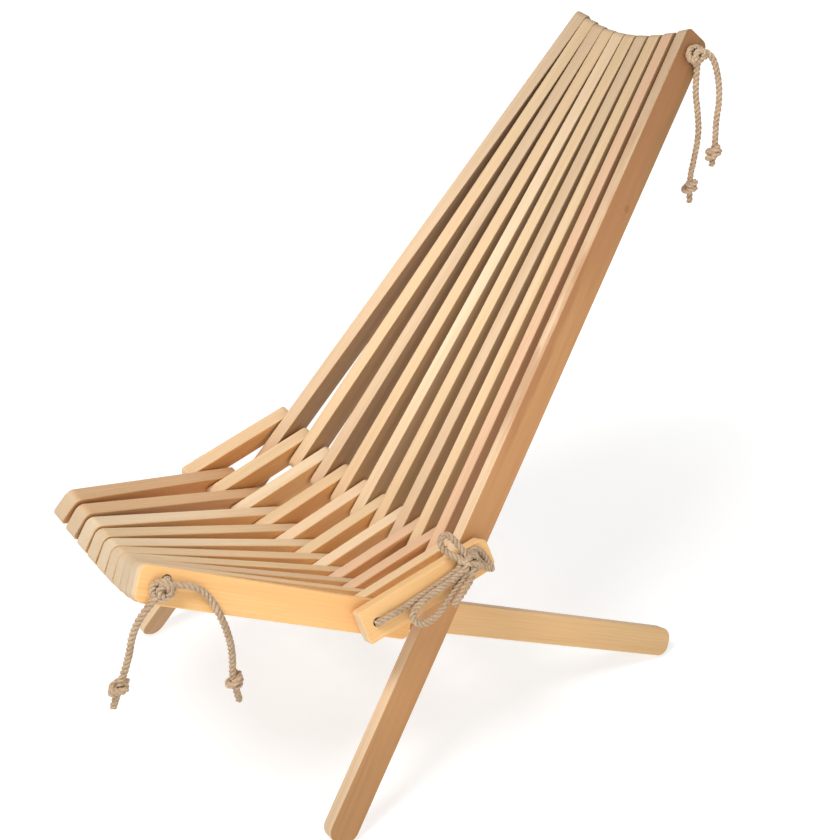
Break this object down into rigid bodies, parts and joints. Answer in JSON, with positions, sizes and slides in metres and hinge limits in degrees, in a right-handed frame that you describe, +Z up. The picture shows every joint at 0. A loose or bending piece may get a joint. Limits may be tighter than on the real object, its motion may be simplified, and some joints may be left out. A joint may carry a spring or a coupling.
{
  "type": "slatted folding beach chair",
  "caption": "Low rope-threaded folding lounge chair of planed wooden battens: crossed seat and back slats fan out over four rope lines, with knotted rope ends.",
  "frame": {"origin": "floor level, under the middle of the chair without its hanging rope ends", "axes": "+X to the sitter's left, -Y towards the front of the seat, +Z up"},
  "size_m": [0.6236, 0.9988, 0.9005],
  "materials": {
    "wood": "planed and lightly oiled softwood",
    "rope": "natural three-strand hemp rope"
  },
  "bodies": {
    "centre_spreader": {"spreader_06": "wood", "seat_hinge_rope": "rope", "back_hinge_rope": "rope"},
    "back_leg_01_body": {"back_leg_01": "wood", "top_far_knot": "rope"},
    "seat_stick_01_body": {"seat_stick_01": "wood", "front_far_knot": "rope"},
    "back_stick_02_body": {"back_stick_02": "wood"},
    "seat_leg_02_body": {"seat_leg_02": "wood"},
    "back_stick_03_body": {"back_stick_03": "wood"},
    "seat_stick_03_body": {"seat_stick_03": "wood"},
    "back_stick_04_body": {"back_stick_04": "wood"},
    "seat_stick_04_body": {"seat_stick_04": "wood"},
    "back_stick_05_body": {"back_stick_05": "wood"},
    "seat_stick_05_body": {"seat_stick_05": "wood"},
    "back_stick_06_body": {"back_stick_06": "wood"},
    "seat_stick_06_body": {"seat_stick_06": "wood"},
    "back_stick_07_body": {"back_stick_07": "wood"},
    "seat_stick_07_body": {"seat_stick_07": "wood"},
    "back_stick_08_body": {"back_stick_08": "wood"},
    "seat_stick_08_body": {"seat_stick_08": "wood"},
    "back_stick_09_body": {"back_stick_09": "wood"},
    "seat_leg_09_body": {"seat_leg_09": "wood"},
    "back_leg_10_body": {"back_leg_10": "wood", "top_rope": "rope", "top_knot": "rope", "top_tail_right": "rope", "top_tail_left": "rope", "top_end_knot_right": "rope", "top_end_knot_left": "rope"},
    "seat_stick_10_body": {"seat_stick_10": "wood", "front_rope": "rope", "front_knot": "rope", "front_tail_right": "rope", "front_tail_left": "rope", "front_end_knot_right": "rope", "front_end_knot_left": "rope"},
    "spreader_01_body": {"spreader_01": "wood", "far_link_rope": "rope"},
    "spreader_02_body": {"spreader_02": "wood"},
    "spreader_03_body": {"spreader_03": "wood"},
    "spreader_04_body": {"spreader_04": "wood"},
    "spreader_05_body": {"spreader_05": "wood"},
    "spreader_07_body": {"spreader_07": "wood"},
    "spreader_08_body": {"spreader_08": "wood"},
    "spreader_09_body": {"spreader_09": "wood"},
    "spreader_10_body": {"spreader_10": "wood"},
    "spreader_11_body": {"spreader_11": "wood", "lash_run": "rope", "lash_knot": "rope", "lash_low_loop": "rope", "lash_tail": "rope", "lash_high_loop": "rope", "lash_wrap": "rope"}
  },
  "joints": [
    {"name": "fold", "type": "hinge", "parent": "centre_spreader", "child": "seat_leg_09_body", "pos_m": [0.15407, -0.19414, 0.25717], "axis": [0.9641, -0.2015, 0.1729], "range_deg": [-106.47, 0], "deforming": ["seat_hinge_rope", "back_hinge_rope", "front_rope", "front_knot", "front_tail_right", "front_tail_left", "front_end_knot_right", "front_end_knot_left", "front_far_knot", "top_rope", "top_knot", "top_tail_right", "top_tail_left", "top_end_knot_right", "top_end_knot_left", "top_far_knot", "far_link_rope", "lash_run", "lash_knot", "lash_low_loop", "lash_tail", "lash_high_loop", "lash_wrap"]},
    {"name": "back_leg_01_turn", "type": "hinge", "parent": "centre_spreader", "child": "back_leg_01_body", "pos_m": [-0.20777, -0.06187, 0.30186], "axis": [0.9556, 0.1087, -0.274], "range_deg": [-5, 0]},
    {"name": "seat_stick_01_turn", "type": "hinge", "parent": "centre_spreader", "child": "seat_stick_01_body", "pos_m": [-0.19809, -0.20892, 0.27727], "axis": [0.9352, 0.2572, -0.2434], "range_deg": [-106.22, 0]},
    {"name": "back_stick_02_turn", "type": "hinge", "parent": "centre_spreader", "child": "back_stick_02_body", "pos_m": [-0.16159, -0.05307, 0.28193], "axis": [0.9729, 0.0894, -0.2135], "range_deg": [-5, 0]},
    {"name": "seat_leg_02_turn", "type": "hinge", "parent": "centre_spreader", "child": "seat_leg_02_body", "pos_m": [-0.15407, -0.19414, 0.25717], "axis": [0.9641, 0.2015, -0.1729], "range_deg": [-106.47, 0]},
    {"name": "back_stick_03_turn", "type": "hinge", "parent": "centre_spreader", "child": "back_stick_03_body", "pos_m": [-0.11542, -0.04648, 0.26698], "axis": [0.986, 0.0666, -0.1528], "range_deg": [-5, 0]},
    {"name": "seat_stick_03_turn", "type": "hinge", "parent": "centre_spreader", "child": "seat_stick_03_body", "pos_m": [-0.11005, -0.18305, 0.2421], "axis": [0.9829, 0.1449, -0.114], "range_deg": [-106.52, 0]},
    {"name": "back_stick_04_turn", "type": "hinge", "parent": "centre_spreader", "child": "back_stick_04_body", "pos_m": [-0.06925, -0.04208, 0.25701], "axis": [0.9949, 0.0412, -0.0918], "range_deg": [-5, 0]},
    {"name": "seat_stick_04_turn", "type": "hinge", "parent": "centre_spreader", "child": "seat_stick_04_body", "pos_m": [-0.06603, -0.17566, 0.23205], "axis": [0.9941, 0.0874, -0.0644], "range_deg": [-106.47, 0]},
    {"name": "back_stick_05_turn", "type": "hinge", "parent": "centre_spreader", "child": "back_stick_05_body", "pos_m": [-0.02309, -0.03988, 0.25202], "axis": [0.9994, 0.0139, -0.0306], "range_deg": [-5, 0]},
    {"name": "seat_stick_05_turn", "type": "hinge", "parent": "centre_spreader", "child": "seat_stick_05_body", "pos_m": [-0.02201, -0.17196, 0.22703], "axis": [0.9994, 0.0292, -0.0208], "range_deg": [-106.43, 0]},
    {"name": "back_stick_06_turn", "type": "hinge", "parent": "centre_spreader", "child": "back_stick_06_body", "pos_m": [0.02309, -0.03988, 0.25202], "axis": [0.9994, -0.0139, 0.0306], "range_deg": [-5, 0]},
    {"name": "seat_stick_06_turn", "type": "hinge", "parent": "centre_spreader", "child": "seat_stick_06_body", "pos_m": [0.02201, -0.17196, 0.22703], "axis": [0.9994, -0.0292, 0.0208], "range_deg": [-106.43, 0]},
    {"name": "back_stick_07_turn", "type": "hinge", "parent": "centre_spreader", "child": "back_stick_07_body", "pos_m": [0.06925, -0.04208, 0.25701], "axis": [0.9949, -0.0412, 0.0918], "range_deg": [-5, 0]},
    {"name": "seat_stick_07_turn", "type": "hinge", "parent": "centre_spreader", "child": "seat_stick_07_body", "pos_m": [0.06603, -0.17566, 0.23205], "axis": [0.9941, -0.0874, 0.0644], "range_deg": [-106.47, 0]},
    {"name": "back_stick_08_turn", "type": "hinge", "parent": "centre_spreader", "child": "back_stick_08_body", "pos_m": [0.11542, -0.04648, 0.26698], "axis": [0.986, -0.0666, 0.1528], "range_deg": [-5, 0]},
    {"name": "seat_stick_08_turn", "type": "hinge", "parent": "centre_spreader", "child": "seat_stick_08_body", "pos_m": [0.11005, -0.18305, 0.2421], "axis": [0.9829, -0.1449, 0.114], "range_deg": [-106.52, 0]},
    {"name": "back_stick_09_turn", "type": "hinge", "parent": "centre_spreader", "child": "back_stick_09_body", "pos_m": [0.16159, -0.05307, 0.28193], "axis": [0.9729, -0.0894, 0.2135], "range_deg": [-5, 0]},
    {"name": "back_leg_10_turn", "type": "hinge", "parent": "centre_spreader", "child": "back_leg_10_body", "pos_m": [0.20777, -0.06187, 0.30186], "axis": [0.9556, -0.1087, 0.274], "range_deg": [-5, 0]},
    {"name": "seat_stick_10_turn", "type": "hinge", "parent": "centre_spreader", "child": "seat_stick_10_body", "pos_m": [0.19809, -0.20892, 0.27727], "axis": [0.9352, -0.2572, 0.2434], "range_deg": [-106.22, 0]},
    {"name": "spreader_01_turn", "type": "hinge", "parent": "centre_spreader", "child": "spreader_01_body", "pos_m": [-0.2201, -0.2177, 0.2892], "axis": [-0.0703, 0.9846, 0.1602], "range_deg": [-18.34, 0]},
    {"name": "spreader_02_turn", "type": "hinge", "parent": "centre_spreader", "child": "spreader_02_body", "pos_m": [-0.17608, -0.20107, 0.26659], "axis": [-0.0588, 0.9839, 0.1688], "range_deg": [-14.67, 0]},
    {"name": "spreader_03_turn", "type": "hinge", "parent": "centre_spreader", "child": "spreader_03_body", "pos_m": [-0.13206, -0.18813, 0.24901], "axis": [-0.0457, 0.9833, 0.176], "range_deg": [-11, 0]},
    {"name": "spreader_04_turn", "type": "hinge", "parent": "centre_spreader", "child": "spreader_04_body", "pos_m": [-0.08804, -0.17889, 0.23645], "axis": [-0.0313, 0.9829, 0.1816], "range_deg": [-7.33, 0]},
    {"name": "spreader_05_turn", "type": "hinge", "parent": "centre_spreader", "child": "spreader_05_body", "pos_m": [-0.04402, -0.17335, 0.22891], "axis": [-0.0159, 0.9826, 0.185], "range_deg": [-3.67, 0]},
    {"name": "spreader_07_turn", "type": "hinge", "parent": "centre_spreader", "child": "spreader_07_body", "pos_m": [0.04402, -0.17335, 0.22891], "axis": [0.0159, 0.9826, 0.185], "range_deg": [0, 3.67]},
    {"name": "spreader_08_turn", "type": "hinge", "parent": "centre_spreader", "child": "spreader_08_body", "pos_m": [0.08804, -0.17889, 0.23645], "axis": [0.0313, 0.9829, 0.1816], "range_deg": [0, 7.33]},
    {"name": "spreader_09_turn", "type": "hinge", "parent": "centre_spreader", "child": "spreader_09_body", "pos_m": [0.13206, -0.18813, 0.24901], "axis": [0.0457, 0.9833, 0.176], "range_deg": [0, 11]},
    {"name": "spreader_10_turn", "type": "hinge", "parent": "centre_spreader", "child": "spreader_10_body", "pos_m": [0.17608, -0.20107, 0.26659], "axis": [0.0588, 0.9839, 0.1688], "range_deg": [0, 14.67]},
    {"name": "spreader_11_turn", "type": "hinge", "parent": "centre_spreader", "child": "spreader_11_body", "pos_m": [0.2201, -0.2177, 0.2892], "axis": [0.0703, 0.9846, 0.1602], "range_deg": [0, 18.34]}
  ],
  "couplings": [
    {"joint": "back_leg_01_turn", "follows": "fold", "ratio": 0.04696},
    {"joint": "seat_stick_01_turn", "follows": "fold", "ratio": 0.99761},
    {"joint": "back_stick_02_turn", "follows": "fold", "ratio": 0.04696},
    {"joint": "seat_leg_02_turn", "follows": "fold", "ratio": 1},
    {"joint": "back_stick_03_turn", "follows": "fold", "ratio": 0.04696},
    {"joint": "seat_stick_03_turn", "follows": "fold", "ratio": 1.0004},
    {"joint": "back_stick_04_turn", "follows": "fold", "ratio": 0.04696},
    {"joint": "seat_stick_04_turn", "follows": "fold", "ratio": 0.99998},
    {"joint": "back_stick_05_turn", "follows": "fold", "ratio": 0.04696},
    {"joint": "seat_stick_05_turn", "follows": "fold", "ratio": 0.9996},
    {"joint": "back_stick_06_turn", "follows": "fold", "ratio": 0.04696},
    {"joint": "seat_stick_06_turn", "follows": "fold", "ratio": 0.9996},
    {"joint": "back_stick_07_turn", "follows": "fold", "ratio": 0.04696},
    {"joint": "seat_stick_07_turn", "follows": "fold", "ratio": 0.99998},
    {"joint": "back_stick_08_turn", "follows": "fold", "ratio": 0.04696},
    {"joint": "seat_stick_08_turn", "follows": "fold", "ratio": 1.0004},
    {"joint": "back_stick_09_turn", "follows": "fold", "ratio": 0.04696},
    {"joint": "back_leg_10_turn", "follows": "fold", "ratio": 0.04696},
    {"joint": "seat_stick_10_turn", "follows": "fold", "ratio": 0.99761},
    {"joint": "spreader_01_turn", "follows": "fold", "ratio": 0.1722},
    {"joint": "spreader_02_turn", "follows": "fold", "ratio": 0.13776},
    {"joint": "spreader_03_turn", "follows": "fold", "ratio": 0.10332},
    {"joint": "spreader_04_turn", "follows": "fold", "ratio": 0.068879},
    {"joint": "spreader_05_turn", "follows": "fold", "ratio": 0.03444},
    {"joint": "spreader_07_turn", "follows": "fold", "ratio": -0.03444},
    {"joint": "spreader_08_turn", "follows": "fold", "ratio": -0.068879},
    {"joint": "spreader_09_turn", "follows": "fold", "ratio": -0.10332},
    {"joint": "spreader_10_turn", "follows": "fold", "ratio": -0.13776},
    {"joint": "spreader_11_turn", "follows": "fold", "ratio": -0.1722}
  ]
}
